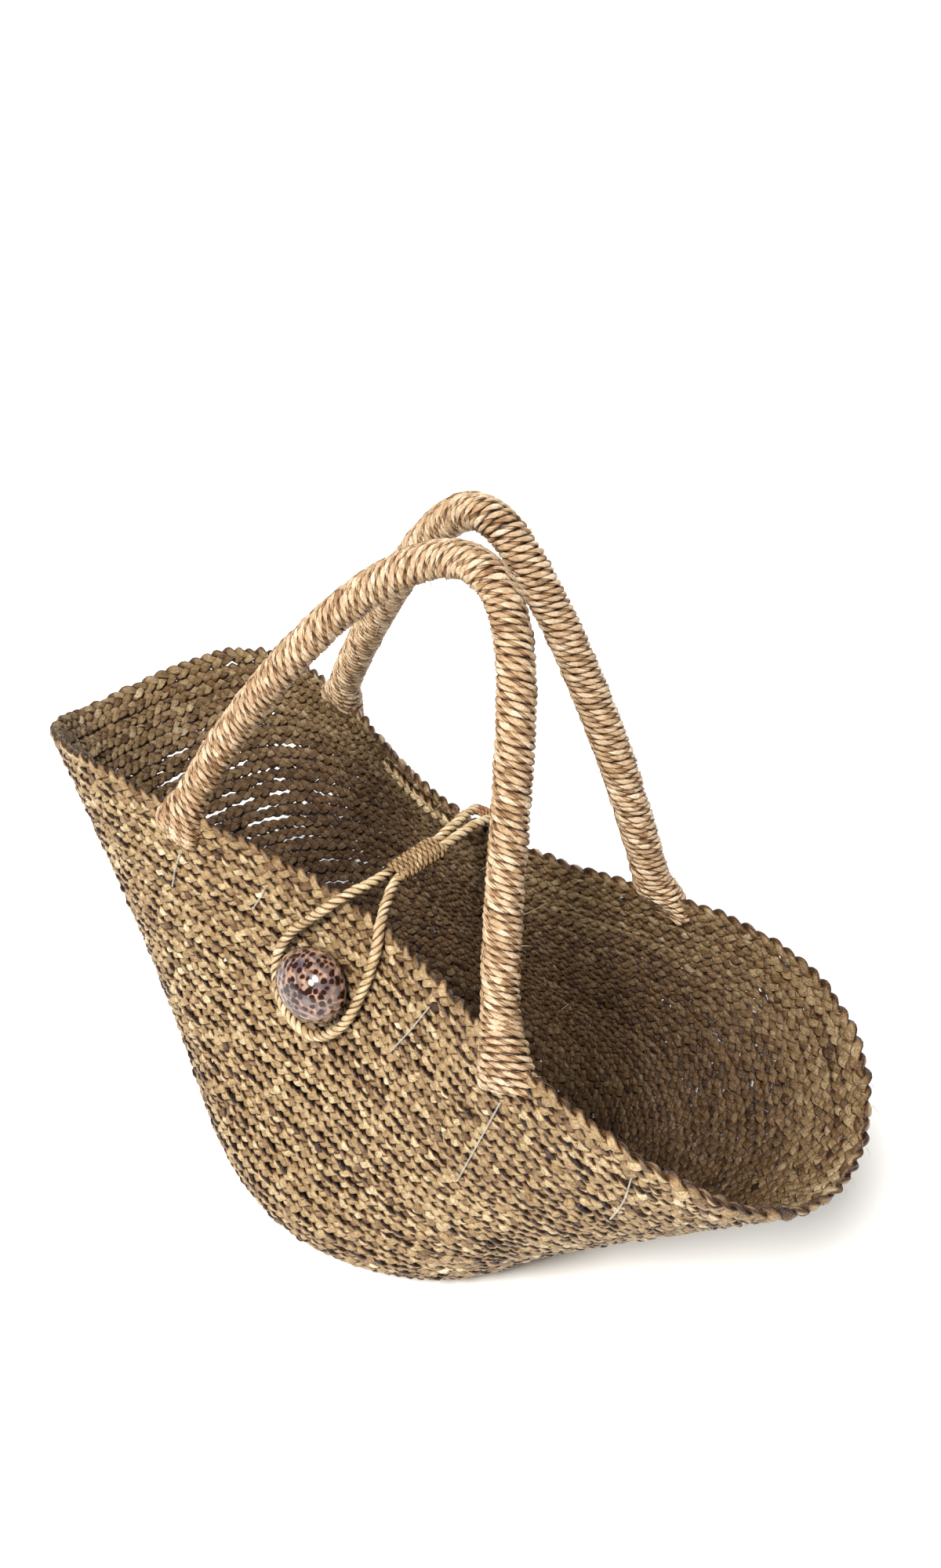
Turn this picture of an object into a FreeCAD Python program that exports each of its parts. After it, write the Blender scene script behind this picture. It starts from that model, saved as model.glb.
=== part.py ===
import FreeCAD, Part
import math
import os

# A spiral-sewn seagrass carrying basket with two wrapped handles and a loop-and-shell closure.
# Millimetres, +Z up, origin under the middle of the base on the surface that the basket stands on.
# X runs along the rim's long way, and -Y is the front, the side that carries the shell button.

Vector = FreeCAD.Vector

# Rim: a rounded rectangle in plan, drawn in at its middle and dipping towards both ends.
RIM_HALF_LENGTH = 290.0
RIM_HALF_WIDTH = 142.0
RIM_ROUNDNESS = 2.28
PINCH_SHARE = 0.63
PINCH_REACH = 206.0
PINCH_X = -4.4
RIM_HEIGHT = 259.7
RIM_END_DROP = 57.8
RIM_END_POWER = 4.68
RIM_TILT = 5.1
RIM_SAG = 29.0

# Base and wall: an oval base turns up through a soft corner into a wall that is straight up its slope.
WALL_FOOT_X = 133.8
WALL_FOOT_Y = 120.0
WALL_FOOT_Z = 33.6
CORNER_INSET = 34.6
CORNER_SPREAD = 24.4
CORNER_RISE = 29.2
CORNER_TOP = 0.12
PLAIT_THICKNESS = 4.5
RIM_ROUND_SHARE = 0.042
RIM_ROUND_PROUD = 1.3
RING_POINTS = 48
CORNER_STEPS = 10

# Free end of the plait, tucked against the inside of the back rim.
TAIL_FROM_X = -84.0
TAIL_TO_X = -6.0
TAIL_TOP_RISE = 1.99
TAIL_RISE_SPAN = 0.056
TAIL_THICKNESS = 3.5
TAIL_GAP = 0.5
TAIL_STATIONS = 6

# Handles: a rope core under a raffia wrap, each an arch that leans in over the opening.
# The poles shape an arch in its own plane: (x, height above its feet), from the left foot to the right.
# Each foot spreads along the rim towards its foot_x.
HANDLE_RADIUS = 9.8
CORE_RADIUS = 6.5
HANDLE_INBOARD = 3.0
HINGE_RISE = 16.0
HINGE_GAP = 0.4
HANDLE_STATIONS = 15
ARCHES = {
    "front": {
        "side": -1, "lean": 22.0,
        "poles": [(-118.0, 0.0), (-92.8, 81.0), (-16.9, 204.2), (80.7, 227.4), (109.4, 55.0), (138.0, 0.0)],
        "foot_x": {"left": -118.0, "right": 146.0},
    },
    "back": {
        "side": 1, "lean": 11.3,
        "poles": [(-142.0, 0.0), (-122.6, 40.0), (-3.1, 232.8), (43.5, 197.5), (94.9, 95.7), (115.0, 0.0)],
        "foot_x": {"left": -145.0, "right": 117.0},
    },
}

# Bound feet that straddle the rim:
# (height above the rim, half length, half thickness, inboard of the rim, share of the way to foot_x)
FOOT_SECTIONS = [(0.0, 12.5, 10.0, 4.0, 0.5), (-19.0, 17.5, 9.5, 0.5, 1.0)]
FOOT_INNER_DEPTH = 6.0
FOOT_BLOCK = 40.0

# Loop of twisted cord: two ends tied over the back rim, whipped together, then round the shell.
CORD_RADIUS = 2.8
ARC_SHARE = 0.45
LEG_LEFT = [
    (-4.0, 66.5, 213.0), (-4.0, 63.0, 227.0), (-3.5, 55.0, 237.5), (-1.5, 43.0, 241.5),
    (3.0, 27.0, 243.0), (4.9, 9.0, 241.0), (5.6, -24.0, 240.0), (5.5, -42.0, 240.0), (1.0, -54.0, 237.5),
]
LEG_RIGHT = [
    (7.0, 66.5, 213.0), (7.0, 63.0, 227.0), (7.5, 55.0, 237.0), (8.5, 43.0, 240.5),
    (10.0, 27.0, 242.0), (10.8, 9.0, 241.0), (11.5, -24.0, 240.0), (19.0, -38.0, 240.0), (29.0, -54.0, 237.0),
]
LOOP_END = [
    (-2.5, -60.5, 233.0), (-12.0, -65.0, 221.0), (-25.5, -69.2, 206.0), (-32.5, -74.2, 190.0),
    (-31.0, -79.6, 173.0), (-18.0, -84.0, 160.5), (0.0, -85.6, 156.0), (16.0, -83.2, 162.0),
    (26.5, -78.2, 176.0), (31.0, -73.0, 192.0), (33.5, -67.8, 208.0), (34.5, -63.2, 221.5),
    (34.0, -60.3, 232.5),
]
WHIPPING_LENGTH = 33.0
WHIPPING_RADII = (8.6, 5.0)
LASHING_RADII = (14.5, 10.5)
LASHING_LENGTH = 9.0

# Cowrie shell button, its flat side to the wall.
SHELL_X = 0.5
SHELL_Z = 185.0
SHELL_HALF_LENGTH = 23.5
SHELL_HALF_WIDTH = 20.8
SHELL_HEIGHT = 26.0
SHELL_WAIST = 8.0
SHELL_STANDOFF = 1.6
SHELL_MOUTH = (34.0, 2.4, 3.0)
TIE_RADIUS = 1.6

# Clear sewing threads that show on the outside: (turn about Z in degrees, share of the wall's height)
THREAD_RADIUS = 0.45
THREAD_STANDOFF = 1.6
THREADS = [
    [(246.2, 0.87), (245.0, 0.81), (243.8, 0.735)],
    [(258.9, 0.905), (258.2, 0.86), (257.2, 0.81)],
    [(287.0, 0.93), (286.0, 0.82), (284.4, 0.70)],
    [(302.0, 0.86), (303.1, 0.67), (304.4, 0.48)],
    [(320.3, 0.93), (323.3, 0.81), (325.6, 0.68)],
]


def unit(vector):
    return vector * (1.0 / vector.Length)


def rim_height(x):
    """Height of the rim's top edge over the point x of the long axis."""
    pinch = math.exp(-((x - PINCH_X) / PINCH_REACH) ** 2)
    end = abs(x / RIM_HALF_LENGTH) ** RIM_END_POWER
    return RIM_HEIGHT - RIM_END_DROP * end - RIM_TILT * x / RIM_HALF_LENGTH - RIM_SAG * pinch


def rim_point(turn):
    """Point of the rim's outer edge at a turn (radians) about Z."""
    cosine = math.cos(turn)
    sine = math.sin(turn)
    reach = (abs(cosine) ** RIM_ROUNDNESS + abs(sine) ** RIM_ROUNDNESS) ** (-1.0 / RIM_ROUNDNESS)
    x = RIM_HALF_LENGTH * cosine * reach
    pinch = math.exp(-((x - PINCH_X) / PINCH_REACH) ** 2)
    y = RIM_HALF_WIDTH * sine * reach * (1.0 - PINCH_SHARE * pinch)
    return Vector(x, y, rim_height(x))


def rim_turn_at(x, side):
    """Turn about Z of the rim point over a given x, on the front (-1) or the back (+1)."""
    low = 0.0
    high = math.pi
    for _ in range(50):
        middle = (low + high) / 2
        if rim_point(middle).x > x:
            low = middle
        else:
            high = middle
    return side * middle


def rim_point_at(x, side):
    return rim_point(rim_turn_at(x, side))


def skin_point(turn, rise):
    """Outer surface: rise 0 to 1 is the corner from floor to wall, 1 to 2 the wall up to the rim."""
    foot = Vector(WALL_FOOT_X * math.cos(turn), WALL_FOOT_Y * math.sin(turn), WALL_FOOT_Z)
    rim = rim_point(turn)
    if rise >= 1.0:
        share = CORNER_TOP + (rise - 1.0) * (1.0 - CORNER_TOP)
        return foot + (rim - foot) * share
    outward = unit(Vector(foot.x, foot.y, 0))
    floor_edge = Vector(foot.x, foot.y, 0) - outward * CORNER_INSET
    wall_start = foot + (rim - foot) * CORNER_TOP
    low_pull = floor_edge + outward * CORNER_SPREAD
    high_pull = wall_start - unit(rim - foot) * CORNER_RISE
    rest = 1.0 - rise
    return (floor_edge * rest ** 3 + low_pull * (3 * rise * rest ** 2)
            + high_pull * (3 * rise ** 2 * rest) + wall_start * rise ** 3)


def outward_normal(turn, rise):
    step = 1e-3
    around = skin_point(turn + step, rise) - skin_point(turn - step, rise)
    low_rise = max(rise - step, 0.0)
    up = skin_point(turn, rise + step) - skin_point(turn, low_rise)
    return unit(around.cross(up))


def inset_point(turn, rise, depth):
    return skin_point(turn, rise) - outward_normal(turn, rise) * depth


def closed_wire(points):
    curve = Part.BSplineCurve()
    curve.interpolate(Points=points, PeriodicFlag=True, Parameters=[float(i) for i in range(len(points) + 1)])
    return Part.Wire(curve.toShape())


def ring(rise, depth):
    """Closed wire round the basket at one rise, moved inward from the outer surface by depth."""
    turns = [2 * math.pi * (i + 0.5) / RING_POINTS for i in range(RING_POINTS)]
    return closed_wire([inset_point(turn, rise, depth) for turn in turns])


def band(rises, outer_depth, inner_depth):
    """Closed strip that follows the basket's surface between two depths, through the given rises."""
    wires = [ring(rise, outer_depth) for rise in rises]
    wires += [ring(rise, inner_depth) for rise in reversed(rises)]
    wires.append(wires[0])
    skin = Part.makeLoft(wires, False, True)
    return closed_solid(skin.Faces)


def closed_solid(faces):
    shell = Part.Shell(faces)
    shell.sewShape()
    solid = Part.Solid(shell)
    if solid.Volume < 0:
        solid.reverse()
    return solid


def base_coil():
    """Flat floor: the first turns of the sewn plait."""
    return Part.Face(ring(0.0, 0.0)).extrude(Vector(0, 0, PLAIT_THICKNESS))


def wall_coil():
    """Sewn turns from the edge of the floor, round the corner and straight up to the last turn."""
    rises = [i / CORNER_STEPS for i in range(CORNER_STEPS + 1)] + [2.0 - RIM_ROUND_SHARE]
    return band(rises, 0.0, PLAIT_THICKNESS)


def rim_round():
    """Last turn of the plait, thicker than the rest."""
    return band([2.0 - RIM_ROUND_SHARE, 2.0], -RIM_ROUND_PROUD, PLAIT_THICKNESS + RIM_ROUND_PROUD)


def plait_tail():
    """Free end of the plait: a short flat strip along the inside of the back rim."""
    start = rim_turn_at(TAIL_FROM_X, 1)
    end = rim_turn_at(TAIL_TO_X, 1)
    near_depth = PLAIT_THICKNESS + RIM_ROUND_PROUD + TAIL_GAP
    sections = []
    for i in range(TAIL_STATIONS + 1):
        turn = start + (end - start) * i / TAIL_STATIONS
        inward = outward_normal(turn, TAIL_TOP_RISE) * -TAIL_THICKNESS
        upper = inset_point(turn, TAIL_TOP_RISE, near_depth)
        lower = inset_point(turn, TAIL_TOP_RISE - TAIL_RISE_SPAN, near_depth)
        sections.append(Part.makePolygon([upper, lower, lower + inward, upper + inward, upper]))
    return Part.makeLoft(sections, True, True)


def rounded_path(points, label):
    """Wire of straight runs joined by tangent arcs, each as large as its two runs allow."""
    edges = []
    radii = []
    run_start = points[0]
    for before, corner, after in zip(points, points[1:], points[2:]):
        incoming = unit(corner - before)
        outgoing = unit(after - corner)
        setback = ARC_SHARE * min((corner - before).Length, (after - corner).Length)
        turn = incoming.getAngle(outgoing)
        radius = setback / math.tan(turn / 2)
        inward = unit(outgoing - incoming)
        arc_start = corner - incoming * setback
        arc_end = corner + outgoing * setback
        arc_middle = corner + inward * (radius / math.cos(turn / 2) - radius)
        edges.append(Part.LineSegment(run_start, arc_start).toShape())
        edges.append(Part.Arc(arc_start, arc_middle, arc_end).toShape())
        radii.append(round(radius, 1))
        run_start = arc_end
    edges.append(Part.LineSegment(run_start, points[-1]).toShape())
    print(label, "arc radii in mm:", radii)
    return Part.Wire(edges)


def tube(points, radius, label):
    path = rounded_path(points, label)
    section = Part.Wire(Part.makeCircle(radius, points[0], points[1] - points[0]))
    solid = path.makePipeShell([section], True, False)
    expected = math.pi * radius ** 2 * path.Length
    print(label, "length", round(path.Length, 1), "volume share", round(solid.Volume / expected, 4))
    return solid


def arch_point(arch, share):
    """Point of a handle's centre line; share runs from 0 at its left foot to 1 at its right foot."""
    curve = Part.BSplineCurve()
    curve.buildFromPoles([Vector(x, height, 0) for x, height in arch["poles"]], False, 3)
    flat = curve.value(curve.FirstParameter + share * (curve.LastParameter - curve.FirstParameter))
    left_x = arch["poles"][0][0]
    right_x = arch["poles"][-1][0]
    across = (flat.x - left_x) / (right_x - left_x)
    base = rim_point_at(left_x, arch["side"]) * (1 - across) + rim_point_at(right_x, arch["side"]) * across
    lean = math.radians(arch["lean"])
    y = base.y - arch["side"] * (HANDLE_INBOARD + flat.y * math.sin(lean))
    return Vector(flat.x, y, base.z + flat.y * math.cos(lean))


def hinge_share(arch, start, inside):
    """Share along the arch, between a foot and the crown, where it stands HINGE_RISE above the rim."""
    for _ in range(50):
        middle = (start + inside) / 2
        point = arch_point(arch, middle)
        if point.z < rim_height(point.x) + HINGE_RISE:
            start = middle
        else:
            inside = middle
    return middle


def handle_route(arch):
    first = hinge_share(arch, 0.0, 0.4)
    last = hinge_share(arch, 1.0, 0.6)
    shares = [first + (last - first) * i / HANDLE_STATIONS for i in range(HANDLE_STATIONS + 1)]
    return [arch_point(arch, share) for share in shares]


def handle_core(route, label):
    return tube(route, CORE_RADIUS, label)


def handle_wrap(route, core, label):
    """Raffia wrap round the core, closed over both of its ends."""
    wrap = tube(route, HANDLE_RADIUS, label)
    for end in (route[0], route[-1]):
        wrap = wrap.fuse(Part.makeSphere(HANDLE_RADIUS, end))
    return wrap.cut(core)


def oval_wire(centre, half_length, half_thickness, along):
    """Horizontal ellipse whose long half axis lies along a direction."""
    major = centre + along * half_length
    minor = centre + Vector(0, 0, 1).cross(along) * half_thickness
    return Part.Wire(Part.Ellipse(major, minor, centre).toShape())


def handle_foot(arch, end, hinge, wall, rim):
    """Bound end of a handle: round at its top, spreading over the rim and down the outside."""
    foot_x = arch["foot_x"][end]
    rim_here = rim_point_at(foot_x, arch["side"])
    ahead = rim_point_at(foot_x + 5.0, arch["side"])
    behind = rim_point_at(foot_x - 5.0, arch["side"])
    along = unit(Vector(ahead.x - behind.x, ahead.y - behind.y, 0))
    top = hinge - Vector(0, 0, HANDLE_RADIUS + HINGE_GAP)
    wires = [oval_wire(top, HANDLE_RADIUS + 0.01, HANDLE_RADIUS, along)]
    for rise, half_length, half_thickness, inboard, share in FOOT_SECTIONS:
        x = hinge.x + (foot_x - hinge.x) * share
        centre = rim_point_at(x, arch["side"]) + Vector(0, -arch["side"] * inboard, rise)
        wires.append(oval_wire(centre, half_length, half_thickness, along))
    foot = Part.makeLoft(wires, True, True)
    foot = foot.cut(wall).cut(rim).cut(inner_block(rim_here, along, arch["side"]))
    return max(foot.Solids, key=lambda solid: solid.Volume)


def inner_block(rim_here, along, side):
    """Block on the inside of the wall that keeps a foot's inner lobe short."""
    inward = Vector(0, 0, 1).cross(along) * -side
    turn = rim_turn_at(rim_here.x, side)
    middle = inset_point(turn, 2.0 - RIM_ROUND_SHARE, PLAIT_THICKNESS / 2)
    low = middle - along * FOOT_BLOCK - Vector(0, 0, FOOT_BLOCK)
    outline = [low, low + along * 2 * FOOT_BLOCK]
    outline += [outline[1] + inward * FOOT_BLOCK, outline[0] + inward * FOOT_BLOCK]
    face = Part.Face(Part.makePolygon(outline + outline[:1]))
    return face.extrude(Vector(0, 0, rim_here.z - FOOT_INNER_DEPTH - low.z))


def whipping(legs):
    """Binding round both legs of the loop, over the stretch where they run side by side."""
    start = (Vector(*LEG_LEFT[5]) + Vector(*LEG_RIGHT[5])) * 0.5
    end = (Vector(*LEG_LEFT[6]) + Vector(*LEG_RIGHT[6])) * 0.5
    along = unit(end - start)
    across = unit(Vector(*LEG_RIGHT[5]) - Vector(*LEG_LEFT[5]))
    centre = (start + end) * 0.5 - along * (WHIPPING_LENGTH / 2)
    upward = unit(across.cross(along))
    section = Part.Ellipse(centre + across * WHIPPING_RADII[0], centre + upward * WHIPPING_RADII[1], centre)
    sleeve = Part.Face(Part.Wire(section.toShape())).extrude(along * WHIPPING_LENGTH)
    return sleeve.cut(legs[0]).cut(legs[1])


def lashing(legs, rim, wall):
    """Thread that ties both ends of the loop down over the back rim."""
    left = Vector(*LEG_LEFT[2])
    right = Vector(*LEG_RIGHT[2])
    crown = rim_point_at((left.x + right.x) / 2, 1)
    centre = crown - Vector(0, PLAIT_THICKNESS, 0)
    sideways = centre + Vector(LASHING_RADII[0], 0, 0)
    upward = centre + Vector(0, 0, LASHING_RADII[1])
    section = Part.Ellipse(sideways, upward, centre)
    binding = Part.Face(Part.Wire(section.toShape())).extrude(Vector(0, LASHING_LENGTH, 0))
    below = Part.makeBox(60, 60, 60, centre - Vector(30, 30, 60))
    for solid in (below, legs[0], legs[1], rim, wall):
        binding = binding.cut(solid)
    return max(binding.Solids, key=lambda solid: solid.Volume)


def wall_frame(x, z):
    """Point of the front wall at x and z, its outward normal, and its uphill direction."""
    turn = 1.5 * math.pi
    rise = 1.7
    for _ in range(40):
        point = skin_point(turn, rise)
        turn += (x - point.x) / RIM_HALF_LENGTH
        rise += (z - point.z) / RIM_HEIGHT
    normal = outward_normal(turn, rise)
    uphill = unit(Vector(0, 0, 1) - normal * normal.z)
    return point, normal, uphill


def shell_button():
    """Cowrie: a domed back, rounded in to a flat underside with its long narrow mouth."""
    foot, normal, uphill = wall_frame(SHELL_X, SHELL_Z)
    dome_height = SHELL_HEIGHT - SHELL_WAIST
    scale = FreeCAD.Matrix()
    scale.scale(Vector(SHELL_HALF_LENGTH, SHELL_HALF_WIDTH, dome_height))
    body = Part.makeSphere(1.0).transformGeometry(scale)
    body.translate(Vector(0, 0, SHELL_WAIST))
    underside = Part.makeBox(100, 100, 50, Vector(-50, -50, -50))
    body = body.cut(underside)
    length, width, depth = SHELL_MOUTH
    mouth = Part.makeBox(length, width, depth, Vector(-length / 2, 2.0, 0))
    body = body.cut(mouth)
    body.Placement = frame_placement(foot + normal * SHELL_STANDOFF, normal, uphill)
    return body


def frame_placement(origin, normal, uphill):
    sideways = unit(uphill.cross(normal))
    rotation = FreeCAD.Rotation(sideways, uphill, normal, "ZXY")
    return FreeCAD.Placement(origin, rotation)


def shell_tie(wall):
    """Short cord that the shell is sewn on by, where it shows between the wall and the shell."""
    foot, normal, _ = wall_frame(SHELL_X, SHELL_Z)
    reach = PLAIT_THICKNESS / 2
    stub = Part.makeCylinder(TIE_RADIUS, reach + SHELL_STANDOFF, foot - normal * reach, normal)
    return stub.cut(wall)


def sewing_thread(route, label):
    points = []
    for turn, height in route:
        points.append(inset_point(math.radians(turn), 1.0 + height, -THREAD_STANDOFF))
    return tube(points, THREAD_RADIUS, label)


def build():
    parts = {}
    parts["base_coil"] = base_coil()
    parts["wall_coil"] = wall_coil()
    parts["rim_round"] = rim_round()
    parts["plait_tail"] = plait_tail()
    for name, arch in ARCHES.items():
        route = handle_route(arch)
        core = handle_core(route, f"handle_{name}_core")
        parts[f"handle_{name}_core"] = core
        parts[f"handle_{name}_wrap"] = handle_wrap(route, core, f"handle_{name}_wrap")
        for end, hinge in (("left", route[0]), ("right", route[-1])):
            foot = handle_foot(arch, end, hinge, parts["wall_coil"], parts["rim_round"])
            parts[f"foot_{name}_{end}"] = foot
        print(name, "handle hinge from", route[0], "to", route[-1])
    legs = [
        tube([Vector(*point) for point in LEG_LEFT], CORD_RADIUS, "loop_leg_left"),
        tube([Vector(*point) for point in LEG_RIGHT], CORD_RADIUS, "loop_leg_right"),
    ]
    parts["loop_leg_left"] = legs[0]
    parts["loop_leg_right"] = legs[1]
    parts["loop_end"] = tube([Vector(*point) for point in LOOP_END], CORD_RADIUS, "loop_end")
    parts["loop_whipping"] = whipping(legs)
    parts["loop_lashing"] = lashing(legs, parts["rim_round"], parts["wall_coil"])
    parts["shell_button"] = shell_button()
    parts["shell_tie"] = shell_tie(parts["wall_coil"])
    for number, route in enumerate(THREADS, 1):
        parts[f"sewing_thread_{number}"] = sewing_thread(route, f"sewing_thread_{number}")
    return parts


def export(parts):
    os.makedirs("parts", exist_ok=True)
    for name, shape in parts.items():
        solids = shape.Solids
        solid = solids[0] if len(solids) == 1 else shape
        box = solid.BoundBox
        print(f"{name}: {len(solids)} solid, valid {solid.isValid()}, {solid.Volume / 1000:.1f} cm3,"
              f" x {box.XMin:.1f} {box.XMax:.1f}, y {box.YMin:.1f} {box.YMax:.1f},"
              f" z {box.ZMin:.1f} {box.ZMax:.1f}")
        solid.exportStep(f"parts/{name}.step")


export(build())
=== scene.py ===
import bpy
import math
import numpy as np
from mathutils import Matrix, Vector


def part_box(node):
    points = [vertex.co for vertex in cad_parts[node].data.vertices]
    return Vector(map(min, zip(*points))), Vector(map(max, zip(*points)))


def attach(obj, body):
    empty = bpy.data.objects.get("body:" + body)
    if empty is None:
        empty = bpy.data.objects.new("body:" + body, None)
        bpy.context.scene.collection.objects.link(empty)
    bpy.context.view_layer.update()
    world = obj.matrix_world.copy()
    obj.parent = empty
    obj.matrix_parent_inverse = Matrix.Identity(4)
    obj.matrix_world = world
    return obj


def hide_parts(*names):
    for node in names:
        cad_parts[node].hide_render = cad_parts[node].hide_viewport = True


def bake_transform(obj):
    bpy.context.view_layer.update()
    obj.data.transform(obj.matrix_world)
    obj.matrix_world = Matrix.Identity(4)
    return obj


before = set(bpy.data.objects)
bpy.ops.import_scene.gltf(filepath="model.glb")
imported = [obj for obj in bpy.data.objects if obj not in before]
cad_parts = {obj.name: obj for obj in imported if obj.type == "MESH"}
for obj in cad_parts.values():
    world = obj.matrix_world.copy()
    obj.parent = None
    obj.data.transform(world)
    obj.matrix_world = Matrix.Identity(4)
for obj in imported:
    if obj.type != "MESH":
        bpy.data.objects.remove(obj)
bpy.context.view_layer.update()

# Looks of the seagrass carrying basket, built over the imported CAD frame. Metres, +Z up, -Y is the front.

MM = 0.001
TAU = 2 * math.pi

# Camera, at the photograph's viewing angle
CAMERA_POSITION = Vector((0.5339, -0.5325, 0.8269))
CAMERA_TARGET = Vector((-0.01866, 0.06372, 0.24251))
CAMERA_ROLL = math.radians(2.02)
CAMERA_LENS = 39.4

# The basket's outer surface, as part.py draws it (mm)
RIM_HALF_LENGTH = 290.0
RIM_HALF_WIDTH = 142.0
RIM_ROUNDNESS = 2.28
PINCH_SHARE = 0.63
PINCH_REACH = 206.0
PINCH_X = -4.4
RIM_HEIGHT = 259.7
RIM_END_DROP = 57.8
RIM_END_POWER = 4.68
RIM_TILT = 5.1
RIM_SAG = 29.0
WALL_FOOT = (133.8, 120.0, 33.6)
CORNER_INSET = 34.6
CORNER_SPREAD = 24.4
CORNER_RISE = 29.2
CORNER_TOP = 0.12
PLAIT_THICKNESS = 4.5
RIM_ROUND_SHARE = 0.042
BASE_LIFT = 1.9

# The sewn plait: rows of a flat braid of three strands (mm)
FIRST_ROW = -0.2
FLOOR_ROWS = 12
CORNER_ROWS = 10
WALL_ROWS = 24
ROW_PITCH = 8.0
RING_ROW = FLOOR_ROWS + CORNER_ROWS + WALL_ROWS
SEAM_TURN = math.radians(93)
SEAM_WIDTH = 0.10
SEAM_ROWS = 8
WALL_PLAIT = {"period": 19.5, "swing": 2.2, "weave": 1.2, "half_width": 2.6, "half_thickness": 1.3}
RIM_PLAIT = {"period": 26.0, "swing": 2.9, "weave": 1.5, "half_width": 2.8, "half_thickness": 1.4}
GAP_SHARE = 0.27
LEAF = 0.17
ROW_TILT = 0.16
ROW_EDGE_FROM = 2.6
ROW_EDGE_WIDTH = 1.8
STEPS_PER_PERIOD = 14
STRAND_SIDES = 8
STEPS_PER_PIECE = 3700
TAIL_FROM_X = -84.0
TAIL_TO_X = -6.0

# Handles (mm)
HANDLE_RADIUS = 9.8
HANDLE_INBOARD = 3.0
HINGE_RISE = 16.0
ARCHES = {
    "front": {
        "side": -1, "lean": 22.0,
        "poles": [(-118.0, 0.0), (-92.8, 81.0), (-16.9, 204.2), (80.7, 227.4), (109.4, 55.0), (138.0, 0.0)],
        "foot_x": (-118.0, 146.0),
    },
    "back": {
        "side": 1, "lean": 11.3,
        "poles": [(-142.0, 0.0), (-122.6, 40.0), (-3.1, 232.8), (43.5, 197.5), (94.9, 95.7), (115.0, 0.0)],
        "foot_x": (-145.0, 117.0),
    },
}
WRAP_PITCH = 3.5
WRAP_STARTS = 3
PLY_PITCH = 19.0
PLY_SIZE = (1.6, 0.95)
PLY_OFFSET = 0.85
WRAP_INSET = 1.6
UNDER_INSET = 2.0
STEPS_PER_TURN = 36
FOOT_HALF_LENGTHS = [10.6, 13.6, 16.2, 17.6, 18.0]
FOOT_OUTER = [10.0, 11.2, 10.6, 9.0, 6.2]
FOOT_INNER = [9.8, 8.4, 5.0, 3.0, 2.4]

# Route points of the loop's cord (m): over the back rim, across, round the shell and back the same way
LOOP_ROUTE = [
    (-0.004, 0.0665, 0.213), (-0.004, 0.063, 0.227), (-0.0035, 0.055, 0.2375), (-0.0015, 0.043, 0.2415),
    (0.003, 0.027, 0.243), (0.0049, 0.009, 0.241), (0.0056, -0.024, 0.240), (0.0055, -0.042, 0.240),
    (0.001, -0.054, 0.2375),
    (-0.0025, -0.0605, 0.233), (-0.012, -0.065, 0.221), (-0.0255, -0.0692, 0.206), (-0.0325, -0.0742, 0.190),
    (-0.031, -0.0796, 0.173), (-0.018, -0.084, 0.1605), (0.0, -0.0856, 0.156), (0.016, -0.0832, 0.162),
    (0.0265, -0.0782, 0.176), (0.031, -0.073, 0.192), (0.0335, -0.0678, 0.208), (0.0345, -0.0632, 0.2215),
    (0.034, -0.0603, 0.2325),
    (0.029, -0.054, 0.237), (0.019, -0.038, 0.240), (0.0115, -0.024, 0.240), (0.0108, 0.009, 0.241),
    (0.010, 0.027, 0.242), (0.0085, 0.043, 0.2405), (0.0075, 0.055, 0.237), (0.007, 0.063, 0.227),
    (0.007, 0.0665, 0.213),
]
CORD_TWIST = 15.5
CORD_PLY_SIZE = (1.55, 1.4)
CORD_PLY_OFFSET = 1.6
WHIPPING_HALF_WIDTH = 8.4
WHIPPING_HALF_HEIGHT = 4.9
WHIPPING_PITCH = 2.9
LASHING_TURNS = 7

# Cowrie shell (mm)
SHELL_X = 0.5
SHELL_Z = 185.0
SHELL_HALF_LENGTH = 23.3
SHELL_HALF_WIDTH = 20.6
SHELL_WAIST = 8.5
SHELL_DOME = 17.3
SHELL_BELLY = 7.6
SHELL_STANDOFF = 1.6

HANDLE_FIBRES = 26
PLAIT_FIBRES = 150

random = np.random.default_rng(20)


# ---------------------------------------------------------------- geometry of the basket

def rim_height(x):
    pinch = np.exp(-((x - PINCH_X) / PINCH_REACH) ** 2)
    end = np.abs(x / RIM_HALF_LENGTH) ** RIM_END_POWER
    return RIM_HEIGHT - RIM_END_DROP * end - RIM_TILT * x / RIM_HALF_LENGTH - RIM_SAG * pinch


def rim_points(turn):
    cosine, sine = np.cos(turn), np.sin(turn)
    reach = (np.abs(cosine) ** RIM_ROUNDNESS + np.abs(sine) ** RIM_ROUNDNESS) ** (-1 / RIM_ROUNDNESS)
    x = RIM_HALF_LENGTH * cosine * reach
    pinch = np.exp(-((x - PINCH_X) / PINCH_REACH) ** 2)
    y = RIM_HALF_WIDTH * sine * reach * (1 - PINCH_SHARE * pinch)
    return np.stack([x, y, rim_height(x)], axis=-1)


def unit(vectors):
    return vectors / np.maximum(np.linalg.norm(vectors, axis=-1, keepdims=True), 1e-12)


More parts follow.
